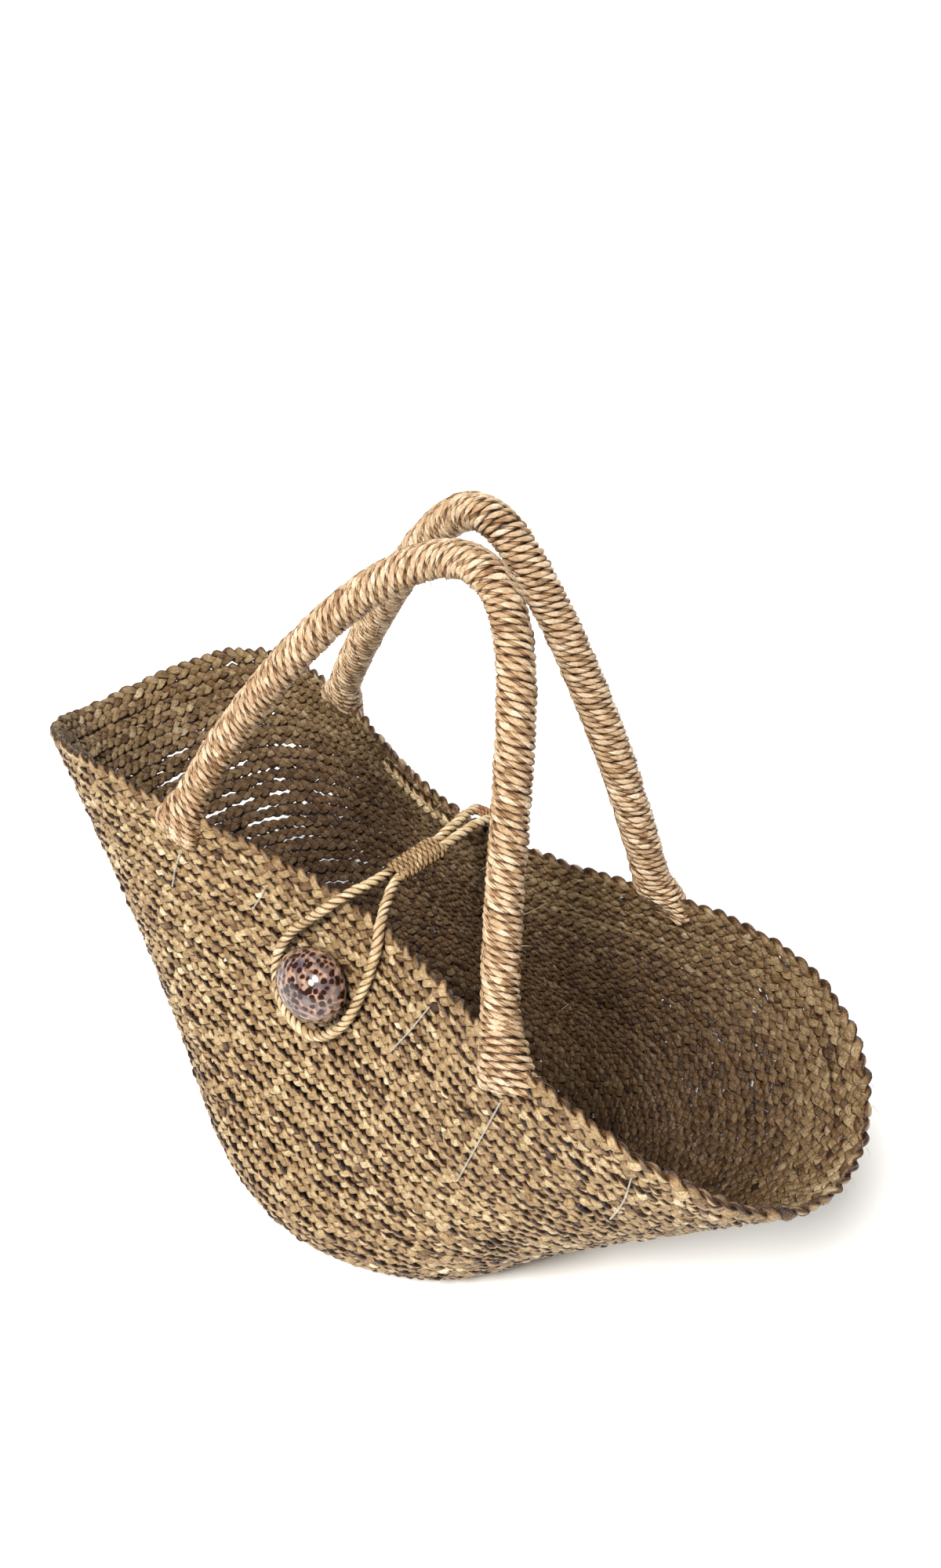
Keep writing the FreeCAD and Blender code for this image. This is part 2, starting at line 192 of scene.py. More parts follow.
def skin_points(turn, level):
    """Outer surface in mm: level -1 to 0 is the floor, 0 to 1 the corner and 1 to 2 the wall."""
    across = np.stack([WALL_FOOT[0] * np.cos(turn), WALL_FOOT[1] * np.sin(turn), 0 * turn], axis=-1)
    outward = unit(across)
    foot = across + [0, 0, WALL_FOOT[2]]
    floor_edge = across - outward * CORNER_INSET
    rise_to_rim = rim_points(turn) - foot
    corner_end = foot + rise_to_rim * CORNER_TOP
    low_pull = floor_edge + outward * CORNER_SPREAD
    high_pull = corner_end - unit(rise_to_rim) * CORNER_RISE
    level = level[..., None]
    up = np.clip(level, 0, 1)
    rest = 1 - up
    corner = (floor_edge * rest ** 3 + low_pull * 3 * up * rest ** 2
              + high_pull * 3 * up ** 2 * rest + corner_end * up ** 3)
    floor = floor_edge * np.clip(level + 1, 0.0, 1)
    wall = foot + rise_to_rim * (CORNER_TOP + (level - 1) * (1 - CORNER_TOP))
    return np.where(level < 0, floor, np.where(level > 1, wall, corner))


def skin_normals(turn, level):
    step = 1e-3
    around = skin_points(turn + step, level) - skin_points(turn - step, level)
    up = skin_points(turn, level + step) - skin_points(turn, np.maximum(level - step, -0.999))
    return unit(np.cross(around, up))


def rim_turn_at(x, side):
    low, high = 0.0, math.pi
    for _ in range(50):
        middle = (low + high) / 2
        if rim_points(np.array(middle))[0] > x:
            low = middle
        else:
            high = middle
    return side * middle


def rim_point_at(x, side):
    return rim_points(np.array(rim_turn_at(x, side)))


# ---------------------------------------------------------------- mesh helpers

def make_mesh(name, points_mm, faces, material, attributes):
    """Smooth mesh object from points in mm, four-cornered faces and per-point attributes."""
    mesh = bpy.data.meshes.new(name)
    mesh.vertices.add(len(points_mm))
    mesh.vertices.foreach_set("co", (points_mm * MM).astype(np.float32).ravel())
    mesh.loops.add(faces.size)
    mesh.loops.foreach_set("vertex_index", faces.astype(np.int32).ravel())
    mesh.polygons.add(len(faces))
    mesh.polygons.foreach_set("loop_start", np.arange(0, faces.size, 4, dtype=np.int32))
    mesh.polygons.foreach_set("use_smooth", np.ones(len(faces), bool))
    mesh.update(calc_edges=True)
    for label, values in attributes.items():
        layer = mesh.attributes.new(label, "FLOAT", "POINT")
        layer.data.foreach_set("value", np.broadcast_to(values, len(points_mm)).astype(np.float32).ravel())
    mesh.materials.append(material)
    piece = bpy.data.objects.new(name, mesh)
    bpy.context.scene.collection.objects.link(piece)
    return piece


def tube_faces(stations, sides):
    first = np.arange(stations - 1)[:, None] * sides
    around = np.arange(sides)[None, :]
    following = (around + 1) % sides
    corners = [first + around, first + following, first + sides + following, first + sides + around]
    return np.stack(corners, axis=-1).reshape(-1, 4)


def sweep(centres, lift, half_width, half_thickness, sides=STRAND_SIDES):
    """Ring of points round every centre: wide across the path, thin along lift. Ends close to a point."""
    stations = len(centres)
    tangent = unit(np.gradient(centres, axis=0))
    across = unit(np.cross(lift, tangent))
    raised = np.cross(tangent, across)
    angle = TAU * np.arange(sides) / sides
    closing = np.ones(stations)
    closing[[0, -1]] = 0.02
    width = (np.broadcast_to(half_width, stations) * closing)[:, None, None]
    thickness = (np.broadcast_to(half_thickness, stations) * closing)[:, None, None]
    ring = (across[:, None] * np.cos(angle)[None, :, None] * width
            + raised[:, None] * np.sin(angle)[None, :, None] * thickness)
    points = centres[:, None] + ring
    along = np.concatenate([[0], np.cumsum(np.linalg.norm(np.diff(centres, axis=0), axis=1))])
    return {
        "points": points.reshape(-1, 3),
        "faces": tube_faces(stations, sides),
        "along": np.repeat(along, sides),
        "around": np.tile(np.cos(angle), stations),
        "facing": np.sin(angle)[None, :],
        "sides": sides,
    }


def strand_mesh(name, strands, material):
    """One mesh of several swept strands, each with its own tone, shade and inner values."""
    points, faces, count = [], [], 0
    values = {label: [] for label in ("along", "around", "tone", "shade", "inner")}
    for number, strand in enumerate(strands):
        points.append(strand["points"])
        faces.append(strand["faces"] + count)
        count += len(strand["points"])
        values["along"].append(strand["along"] + 517.0 * number)
        values["around"].append(strand["around"])
        for label in ("tone", "shade", "inner"):
            stations = len(strand["points"]) // strand["sides"]
            column = np.asarray(strand[label], float)
            column = column[:, None] if column.ndim == 1 else column
            values[label].append(np.broadcast_to(column, (stations, strand["sides"])).ravel())
    joined = {label: np.concatenate(parts) for label, parts in values.items()}
    return make_mesh(name, np.concatenate(points), np.concatenate(faces), material, joined)


def smooth_noise(along, spacing, amount):
    """Random number that drifts along a path, with a new value every spacing."""
    count = int(along.max() / spacing) + 3
    knots = random.normal(0, amount, count)
    place = along / spacing
    share = place % 1
    share = share * share * (3 - 2 * share)
    index = place.astype(int)
    return knots[index] * (1 - share) + knots[index + 1] * share


def arc_length(points):
    return np.concatenate([[0], np.cumsum(np.linalg.norm(np.diff(points, axis=0), axis=1))])


# ---------------------------------------------------------------- the plait

def row_turns(rows):
    """Spiral: the row number at every count of turns. Its last rows rise only at the seam behind the tail."""
    row = np.floor(rows)
    share = rows - row
    seam = np.clip((share - (1 - SEAM_WIDTH)) / SEAM_WIDTH, 0, 1)
    seam = seam * seam * (3 - 2 * seam)
    late = np.clip((row - (RING_ROW - SEAM_ROWS)) / (SEAM_ROWS - 1), 0, 1)
    climb = row + share * (1 - late) + seam * late
    return np.minimum(climb, RING_ROW)


def row_level(row):
    edges = [0, FLOOR_ROWS, FLOOR_ROWS + CORNER_ROWS, RING_ROW, RING_ROW + 0.5]
    levels = [-1, 0, 1, 2 - RIM_ROUND_SHARE, 2 - RIM_ROUND_SHARE / 2]
    return np.interp(row + 0.5, edges, levels)


def coil_path():
    """Centre line of the whole plait in mm, at even steps, with its turn, level and row."""
    rows = np.linspace(FIRST_ROW, RING_ROW + 1.0, 60000)
    row = row_turns(rows)
    turn = SEAM_TURN - rows * TAU
    centre = skin_points(turn, row_level(row))
    along = arc_length(centre)
    step = WALL_PLAIT["period"] / STEPS_PER_PERIOD
    even = np.arange(0, along[-1], step)
    rows = np.interp(even, along, rows)
    row = row_turns(rows)
    turn = SEAM_TURN - rows * TAU
    return even, turn, row_level(row), row


def plait_strands(centres, normals, phase, size, growth, spread, inner_shade_share):
    """Three strands of a flat braid along a path. size holds the wall's numbers, and growth blends
    them to the rim's. spread widens the braid where its rows lie further apart, and the last argument
    gives painted shade on its inner side. The shade values paint shade where a strand dives under
    its neighbours and towards the seams between rows."""
    def sized(label):
        return size[label] * (1 - growth) + RIM_PLAIT[label] * growth
    along = arc_length(centres)
    tangent = unit(np.gradient(centres, axis=0))
    up = np.cross(normals, tangent)
    up = up * np.sign(up[len(up) // 2, 2] or 1.0)
    wander = smooth_noise(along, 9.0, 0.38) + smooth_noise(along, 47.0, 0.30)
    squeeze = 1 + smooth_noise(along, 9.0, 0.12)
    tilt = ROW_TILT * (1 - growth)
    strands = []
    for number in range(3):
        angle = phase + TAU * number / 3
        front = bead_numbers(angle + math.pi / 6)
        back = bead_numbers(angle - math.pi / 6)
        belly = np.abs(np.sin(angle))
        plump = 1 - LEAF + 1.35 * LEAF * belly + bead_values(front, 0.15) * belly
        sway = np.sin(angle) - 0.10 * np.sin(3 * angle)
        lift = sized("weave") * np.sin(2 * angle) + bead_values(front, 0.38) * belly
        climb = sized("swing") * squeeze * spread * sway
        path = centres + up * (climb + wander)[:, None] + normals * (lift + tilt * climb)[:, None]
        lean = bead_values(front, 0.42) * belly - tilt
        roll = bead_values(front, 0.30) * belly
        facing = normals + up * lean[:, None] + tangent * roll[:, None]
        strand = sweep(path, facing, sized("half_width") * plump * spread, sized("half_thickness") * plump)
        outside = strand["facing"] > 0
        drift = smooth_noise(along, 160.0, 0.10)[:, None]
        front_tone = bead_values(front, 0.11)[:, None] + drift
        back_tone = bead_values(back, 0.11)[:, None] + drift
        strand["tone"] = 0.5 + np.where(outside, front_tone, back_tone)
        # Painted shade: darker where a strand dives under its neighbours and towards the seams between rows.
        height = (lift / sized("weave"))[:, None] * strand["facing"]
        ring = strand["points"].reshape(len(path), -1, 3) - centres[:, None]
        from_middle = np.sum(ring * up[:, None], axis=-1) - wander[:, None]
        row_edge = np.clip((np.abs(from_middle) - ROW_EDGE_FROM) / ROW_EDGE_WIDTH, 0, 1)
        row_edge = row_edge * (1 - 0.8 * growth)[:, None]
        strand["shade"] = np.clip(0.80 + 0.45 * height - 0.28 * row_edge, 0, 1)
        # Painted shade on the braid's inner side.
        strand["inner"] = np.where(outside, 0.0, 1.0) * inner_shade_share[:, None]
        strands.append(strand)
    return strands


def bead_numbers(angle):
    """Number of the bead that each point of a strand is on: a new one every half turn."""
    numbers = np.floor(angle / math.pi).astype(int)
    return numbers - numbers.min()


def bead_values(numbers, spread):
    return random.normal(0, spread, numbers.max() + 1)[numbers]


def sewn_width(along, turn, level):
    """Share of the row that the plait fills: loosely sewn, with slits between the rows, in the back wall."""
    back = np.clip(0.9 + 1.6 * np.sin(turn - 0.35), 0, 1)
    middle = np.clip((level - 1.0) / 0.12, 0, 1) * np.clip((1.86 - level) / 0.1, 0, 1)
    loose = np.clip(0.45 + smooth_noise(along, 60.0, 0.12) + smooth_noise(along, 6.5, 0.32), 0, 1)
    return 1 - GAP_SHARE * back * middle * loose


def build_plait(material):
    even, turn, level, row = coil_path()
    normals = skin_normals(turn, level)
    inset = PLAIT_THICKNESS / 2 + BASE_LIFT * np.clip(1 - level, 0, 1)
    centres = skin_points(turn, level) - normals * inset[:, None]
    growth = np.clip(row - (RING_ROW - 1), 0, 1)
    growth = growth * growth * (3 - 2 * growth)
    row_below = np.maximum(row - 0.5, 0)
    row_above = np.minimum(row + 0.5, RING_ROW - 0.5)
    rise = skin_points(turn, row_level(row_above)) - skin_points(turn, row_level(row_below))
    apart = np.linalg.norm(rise, axis=1) / np.maximum(row_above - row_below, 0.25)
    width = np.clip(apart / ROW_PITCH, 0.8, 1.25) * sewn_width(even, turn, level)
    spread = np.where(row > RING_ROW - 1, 1.0, width)
    # Painted shade for the plait's inner side: half near the rim, full lower down and on the floor.
    inner_shade_share = np.clip(0.5 + (1.97 - level) * 1.2, 0.5, 1.0)
    period = WALL_PLAIT["period"] * (1 - growth) + RIM_PLAIT["period"] * growth
    phase = TAU * np.cumsum(np.full(len(even), even[1]) / period)
    rim_start = int(np.argmax(growth > 0.5))
    cuts = list(range(0, rim_start, STEPS_PER_PIECE)) + [rim_start, len(even) - 1]
    pieces = []
    for number, (first, last) in enumerate(zip(cuts, cuts[1:])):
        chosen = slice(first, last + 1)
        strands = plait_strands(centres[chosen], normals[chosen], phase[chosen], WALL_PLAIT,
                                growth[chosen], spread[chosen], inner_shade_share[chosen])
        piece = strand_mesh(f"plait_{number + 1:02d}", strands, material)
        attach(piece, "root")
        pieces.append(piece)
    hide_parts("base_coil")
    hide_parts("wall_coil")
    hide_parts("rim_round")
    return pieces


def build_tail(material):
    turn = np.linspace(rim_turn_at(TAIL_FROM_X, 1), rim_turn_at(TAIL_TO_X, 1), 100)
    level = 1.962 - 0.004 * np.sin(np.linspace(0, 9, 100))
    normals = skin_normals(turn, np.full(100, 1.97))
    centres = skin_points(turn, level + 0 * turn) - normals * (PLAIT_THICKNESS + 3.4)
    along = arc_length(centres)
    phase = TAU * along / 21.0
    size = {"swing": 3.0, "weave": 0.75, "half_width": 2.6, "half_thickness": 0.8}
    strands = plait_strands(centres, normals, phase, size, np.zeros(100), np.ones(100), np.zeros(100))
    for strand in strands:
        strand["tone"] = strand["tone"] + 0.25
    tail = strand_mesh("tail_braid", strands, material)
    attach(tail, "root")
    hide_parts("plait_tail")
    return tail


# ---------------------------------------------------------------- handles

def spline_value(poles, share):
    """Clamped cubic B-spline through numpy, one row of poles per control point."""
    knots = np.concatenate([[0] * 3, np.linspace(0, 1, len(poles) - 2), [1] * 3])
    share = np.clip(share, 0, 1 - 1e-9)
    weights = [np.where((share >= a) & (share < b), 1.0, 0.0) for a, b in zip(knots, knots[1:])]
    for degree in (1, 2, 3):
        raised = []
        for i in range(len(weights) - 1):
            left, right = knots[i + degree] - knots[i], knots[i + degree + 1] - knots[i + 1]
            before = (share - knots[i]) / left * weights[i] if left > 0 else 0 * share
            after = (knots[i + degree + 1] - share) / right * weights[i + 1] if right > 0 else 0 * share
            raised.append(before + after)
        weights = raised
    return sum(weight[:, None] * np.array(pole, float) for weight, pole in zip(weights, poles))


def arch_points(arch, share):
    flat = spline_value(arch["poles"], share)
    left_x, right_x = arch["poles"][0][0], arch["poles"][-1][0]
    across = ((flat[:, 0] - left_x) / (right_x - left_x))[:, None]
    base = rim_point_at(left_x, arch["side"]) * (1 - across) + rim_point_at(right_x, arch["side"]) * across
    lean = math.radians(arch["lean"])
    y = base[:, 1] - arch["side"] * (HANDLE_INBOARD + flat[:, 1] * math.sin(lean))
    return np.stack([flat[:, 0], y, base[:, 2] + flat[:, 1] * math.cos(lean)], axis=-1)


def foot_stations(arch, end, hinge):
    """Centres and half sizes of one bound foot, from the hinge down over the rim."""
    spread = arch["foot_x"][end] - hinge[0]
    outward = np.array([0, arch["side"], 0])

    def rim(share):
        return rim_point_at(hinge[0] + spread * share, arch["side"])
    centres = [
        hinge * 0.55 + (rim(0.35) - outward * 3.0) * 0.45,
        rim(0.7) - outward * 2.0,
        rim(1.0) - [0, 0, 7],
        rim(1.2) - [0, 0, 13] + outward * 1.0,
        rim(1.3) - [0, 0, 17] + outward * 1.5,
    ]
    return centres, FOOT_HALF_LENGTHS, FOOT_OUTER, FOOT_INNER


def handle_path(arch):
    """Centre line from the bottom of one foot to the bottom of the other, with half sizes, in mm."""
    shares = np.linspace(0, 1, 600)
    points = arch_points(arch, shares)
    above = points[:, 2] - rim_height(points[:, 0])
    free = points[above >= HINGE_RISE]
    first = foot_stations(arch, 0, free[0])
    last = foot_stations(arch, 1, free[-1])
    centres = np.concatenate([first[0][::-1], free[::12], last[0]])
    middle = len(free[::12])
    sizes = []
    for near, far in zip(first[1:], last[1:]):
        sizes.append(np.concatenate([near[::-1], np.full(middle, HANDLE_RADIUS), far]))
    along = arc_length(centres)
    fine = np.linspace(0, along[-1], 1400)
    smooth = np.stack([np.interp(fine, along, centres[:, k]) for k in range(3)], axis=-1)
    smooth = relax(smooth, 26)
    sizes = [np.interp(fine, along, size) for size in sizes]
    return smooth, sizes


def relax(points, rounds):
    points = points.copy()
    for _ in range(rounds * 6):
        points[1:-1] = points[1:-1] * 0.5 + (points[:-2] + points[2:]) * 0.25
    return points


def section_frame(arch, centres):
    """Two directions square to the path: one in the arch's plane and one out of it, away from the opening."""
    tangent = unit(np.gradient(centres, axis=0))
    lean = math.radians(arch["lean"])
    out_of_plane = np.array([0, arch["side"] * math.cos(lean), math.sin(lean)])
    outward = unit(out_of_plane - tangent * (tangent @ out_of_plane)[:, None])
    return np.cross(outward, tangent), outward


def winding(centres, along_dir, outward, half_length, outer, inner, pitch, inset, start=0.0):
    """Centre line of a left-handed winding round a path, with the direction away from the path.
    Sections longer than they are thick are squared off a little."""
    path = arc_length(centres)
    turns = path[-1] / pitch
    count = int(turns * STEPS_PER_TURN)
    turn = np.linspace(0, turns, count)
    place = np.linspace(0, path[-1], count) + smooth_noise(turn, 1.0, 0.25)
    place = np.clip(place, 0, path[-1])

    def at(values):
        if np.ndim(values) == 2:
            return np.stack([np.interp(place, path, values[:, k]) for k in range(3)], axis=-1)
        return np.interp(place, path, np.broadcast_to(values, len(path)))
    angle = (start - turn) * TAU
    square = 1 - 0.35 * np.clip(at(half_length) / HANDLE_RADIUS - 1, 0, 1)
    cosine = np.sign(np.cos(angle)) * np.abs(np.cos(angle)) ** square
    sine = np.sign(np.sin(angle)) * np.abs(np.sin(angle)) ** square
    reach_out = np.where(sine > 0, at(outer), at(inner)) - inset
    bulge = 1 + smooth_noise(turn, 0.45, 0.022)
    away = (at(along_dir) * (cosine * (at(half_length) - inset))[:, None]
            + at(outward) * (sine * reach_out)[:, None])
    return at(centres) + away * bulge[:, None], unit(away)


def plied_cord(line, away, ply_size, ply_offset, ply_pitch, plies, sides, tone):
    """Plies twisted round a line, each a swept strand of half width and half thickness ply_size."""
    along = arc_length(line)
    tangent = unit(np.gradient(line, axis=0))
    side = unit(np.cross(tangent, away))
    up = np.cross(side, tangent)
    drift = smooth_noise(along, 40.0, 0.35)
    strands = []
    for number in range(plies):
        angle = TAU * (along / ply_pitch + number / plies) + drift
        offset = up * np.cos(angle)[:, None] + side * np.sin(angle)[:, None]
        beads = bead_numbers(angle)
        plump = 1 + smooth_noise(along, ply_pitch * 0.5, 0.13)
        strand = sweep(line + offset * ply_offset, offset, ply_size[0] * plump, ply_size[1] * plump, sides)
        strand["tone"] = tone + bead_values(beads, 0.14) + smooth_noise(along, 230.0, 0.08)
        strand["shade"] = np.clip(0.90 + 0.36 * np.cos(angle), 0, 1.15)
        strand["inner"] = np.zeros(len(line))
        strands.append(strand)
    return strands


def build_handle(name, arch, wrap_material, under_material):
    centres, (half_length, outer, inner) = handle_path(arch)
    along_dir, outward = section_frame(arch, centres)
    strands = []
    for number in range(WRAP_STARTS):
        line, away = winding(centres, along_dir, outward, half_length, outer, inner,
                             WRAP_PITCH * WRAP_STARTS, WRAP_INSET, number / WRAP_STARTS)
        strands += plied_cord(line, away, PLY_SIZE, PLY_OFFSET, PLY_PITCH, 2, 6, 0.5)
    wrap = strand_mesh(f"handle_{name}_winding", strands, wrap_material)
    chosen = slice(None, None, 8)
    under = core_mesh(f"handle_{name}_under", centres[chosen], along_dir[chosen], outward[chosen],
                      half_length[chosen] - UNDER_INSET, outer[chosen] - UNDER_INSET,
                      inner[chosen] - UNDER_INSET, under_material)
    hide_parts(f"handle_{name}_wrap", f"foot_{name}_left", f"foot_{name}_right")
    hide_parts(f"handle_{name}_core")
    for piece in (wrap, under):
        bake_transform(piece)
    return wrap


def core_mesh(name, centres, along_dir, outward, half_length, outer, inner, material, sides=24):
    angle = TAU * np.arange(sides) / sides
    cosine, sine = np.cos(angle)[None, :], np.sin(angle)[None, :]
    reach = np.maximum(np.where(sine > 0, outer[:, None], inner[:, None]), 0.4)
    points = (centres[:, None] + along_dir[:, None] * (cosine * half_length[:, None])[..., None]
              + outward[:, None] * (sine * reach)[..., None])
    values = {
        "along": np.repeat(arc_length(centres), sides), "around": np.tile(np.cos(angle), len(centres)),
        "tone": 0.12, "shade": 0.5, "inner": 0.0,
    }
    return make_mesh(name, points.reshape(-1, 3), tube_faces(len(centres), sides), material, values)


# ---------------------------------------------------------------- loop, bindings and shell

def route_curve(name, points):
    """Smooth curve of one NURBS spline with the route points as its control points."""
    curve = bpy.data.curves.new(name, "CURVE")
    curve.dimensions = "3D"
    curve.resolution_u = 24
    spline = curve.splines.new("NURBS")
    spline.points.add(len(points) - 1)
    for spot, point in zip(spline.points, points):
        spot.co = (*point, 1)
    spline.order_u = 3
    spline.use_endpoint_u = True
    return bpy.data.objects.new(name, curve)


def route_line(points):
    """Points in mm read from the route's NURBS spline, at even steps."""
    guide = route_curve("route_guide", points)
    mesh = bpy.data.meshes.new_from_object(guide)
    line = np.array([vertex.co for vertex in mesh.vertices]) / MM
    bpy.data.meshes.remove(mesh)
    bpy.data.curves.remove(guide.data)
    along = arc_length(line)
    even = np.linspace(0, along[-1], int(along[-1] / 0.8))
    return np.stack([np.interp(even, along, line[:, k]) for k in range(3)], axis=-1)


def carried_normals(line):
    """Directions square to a line that turn as little as they can along it."""
    tangent = unit(np.gradient(line, axis=0))
    normal = np.cross(tangent[0], [1.0, 0.0, 0.0])
    normals = []
    for direction in tangent:
        normal = unit(normal - direction * (normal @ direction))
        normals.append(normal)
    return np.array(normals)


def build_loop(material):
    line = route_line(LOOP_ROUTE)
    strands = plied_cord(line, carried_normals(line), CORD_PLY_SIZE, CORD_PLY_OFFSET, CORD_TWIST, 3, 10, 0.55)
    cord = strand_mesh("loop_cord", strands, material)
    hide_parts("loop_leg_left", "loop_leg_right", "loop_end")
    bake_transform(cord)
    return cord


def build_whipping(material):
    start = (Vector(LOOP_ROUTE[5]) + Vector(LOOP_ROUTE[25])) / 2
    end = (Vector(LOOP_ROUTE[6]) + Vector(LOOP_ROUTE[24])) / 2
    centres = np.linspace(np.array(start), np.array(end), 60) / MM
    across = np.tile(unit(np.array(Vector(LOOP_ROUTE[25]) - Vector(LOOP_ROUTE[5]))), (60, 1))
    upward = np.cross(across, unit(np.gradient(centres, axis=0)))
    line, away = winding(centres, across, upward, WHIPPING_HALF_WIDTH, WHIPPING_HALF_HEIGHT,
                         WHIPPING_HALF_HEIGHT, WHIPPING_PITCH, 1.2)
    strands = plied_cord(line, away, (1.15, 0.75), 0.45, 9.0, 2, 6, 0.5)
    binding = strand_mesh("whipping_twine", strands, material)
    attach(binding, "root")
    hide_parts("loop_whipping")
    return binding


def build_lashing(material):
    low, high = [np.array(corner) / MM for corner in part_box("loop_lashing")]
    middle = (low + high) / 2
    loops = []
    for number in range(LASHING_TURNS):
        share = number / (LASHING_TURNS - 1)
        angle = np.linspace(-0.28, math.pi + 0.28, 46)
        y = low[1] + 0.9 + (high[1] - low[1] - 1.8) * share + 1.4 * np.cos(angle) * (-1) ** number
        reach = (high[0] - low[0]) / 2 - 0.9 - 0.8 * random.random()
        rise = high[2] - low[2] - 0.9 - 0.5 * random.random()
        x = middle[0] + reach * np.cos(angle)
        z = low[2] + rise * np.sin(angle)
        line = np.stack([x, y, z], axis=-1)
        away = unit(line - [middle[0], middle[1], low[2]])
        loops += plied_cord(line, away, (0.5, 0.45), 0.34, 5.0, 2, 6, 0.3)
    binding = strand_mesh("lashing_thread", loops, material)
    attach(binding, "root")
    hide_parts("loop_lashing")
    return binding


def shell_frame():
    """Centre, sideways, uphill and outward directions of the shell, from the wall behind it."""
    turn, level = np.array([1.5 * math.pi]), np.array([1.7])
    for _ in range(40):
        point = skin_points(turn, level)
        turn = turn + (SHELL_X - point[:, 0]) / RIM_HALF_LENGTH
        level = level + (SHELL_Z - point[:, 2]) / RIM_HEIGHT
    normal = skin_normals(turn, level)[0]
    uphill = unit(np.array([0, 0, 1]) - normal * normal[2])
    return point[0], np.cross(uphill, normal), uphill, normal


def build_shell(material):
    """Domed back, rounded in to a flatter underside with a long toothed mouth."""
    foot, sideways, uphill, normal = shell_frame()
    rings, sides = 72, 120
    polar = np.linspace(0.0, math.pi, rings)[:, None]
    angle = (TAU * np.arange(sides) / sides)[None, :]
    plan = np.sin(polar) ** 0.92
    egg = 1 + 0.05 * np.cos(angle) * plan
    x = SHELL_HALF_LENGTH * plan * np.cos(angle)
    y = SHELL_HALF_WIDTH * plan * np.sin(angle) * egg
    height = np.cos(polar) + 0 * angle
    dome = SHELL_WAIST + SHELL_DOME * height
    belly = SHELL_WAIST + SHELL_BELLY * np.tanh(1.5 * height) / math.tanh(1.5)
    z = np.where(height > 0, dome, belly)
    mouth = np.exp(-(y / 2.1) ** 2) * np.clip(1.15 - np.abs(x) / 18, 0, 1) * (height < 0)
    teeth = 0.5 + 0.5 * np.cos(x * 2.2)
    lips = np.exp(-((np.abs(y) - 3.6) / 1.4) ** 2) * (height < -0.7) * (np.abs(x) < 17)
    z = z + mouth * 3.4 + lips * teeth * 0.5
    points = (foot + normal * SHELL_STANDOFF + x[..., None] * sideways + y[..., None] * uphill
              + z[..., None] * normal)
    flat = points.reshape(-1, 3)
    attributes = {"shell_x": x.ravel(), "shell_y": (y + 0 * x).ravel(), "shell_z": z.ravel()}
    shell = make_mesh("cowrie_shell", flat, tube_faces(rings, sides)[:, ::-1], material, attributes)
    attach(shell, "root")
    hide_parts("shell_button")
    return shell


def build_fibres(material):
    """Loose raffia ends at the feet and along the handles, and bristly plait ends along the rim."""
    strands = {"root": [], "handle_front": [], "handle_back": []}
    for name, arch in ARCHES.items():
        centres, _ = handle_path(arch)
        along_dir, outward = section_frame(arch, centres)
        for _ in range(HANDLE_FIBRES):
            place = int(random.uniform(130, 1270))
            strands[f"handle_{name}"].append(
                fibre(centres[place], along_dir[place], outward[place], 9.2, random.uniform(5, 15)))
    for _ in range(PLAIT_FIBRES):
        turn = np.array([random.uniform(0, TAU)])
        level = np.array([random.choice([1.995, random.uniform(1.0, 1.98)], p=[0.6, 0.4])])
        normal = skin_normals(turn, level)[0]
        point = skin_points(turn, level)[0] - normal * 2
        strands["root"].append(fibre(point, np.cross(normal, [0, 0, 1.0]), normal, 2.2, random.uniform(3, 8)))
    for body, group in strands.items():
        piece = strand_mesh(f"fibres_{body}", group, material)
        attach(piece, body)


def fibre(centre, first, second, radius, length):
    angle = random.uniform(0, TAU)
    away = first * math.cos(angle) + second * math.sin(angle)
    side = np.cross(away, unit(np.cross(first, second)))
    start = centre + away * radius
    lean = random.normal(0, 1.0, 3)
    share = np.linspace(0, 1, 9)[:, None]
    bow = unit(side + 0.5 * lean)
    points = start + share * length * 0.45 * away + share ** 1.5 * length * bow * 0.8
    half_width = 0.28 * (1 - 0.8 * share[:, 0])
    half_thickness = 0.12 * (1 - 0.7 * share[:, 0])
    strand = sweep(points, np.tile(away, (9, 1)), half_width, half_thickness, 4)
    strand["tone"] = np.full(9, 0.75)
    strand["shade"] = np.ones(9)
    strand["inner"] = np.zeros(9)
    return strand


# ---------------------------------------------------------------- materials

WHITE = (1, 1, 1, 1)
BLACK = (0, 0, 0, 1)


def srgb(red, green, blue):
    def linear(value):
        value = value / 255
        return value / 12.92 if value <= 0.04045 else ((value + 0.055) / 1.055) ** 2.4
    return (linear(red), linear(green), linear(blue), 1.0)


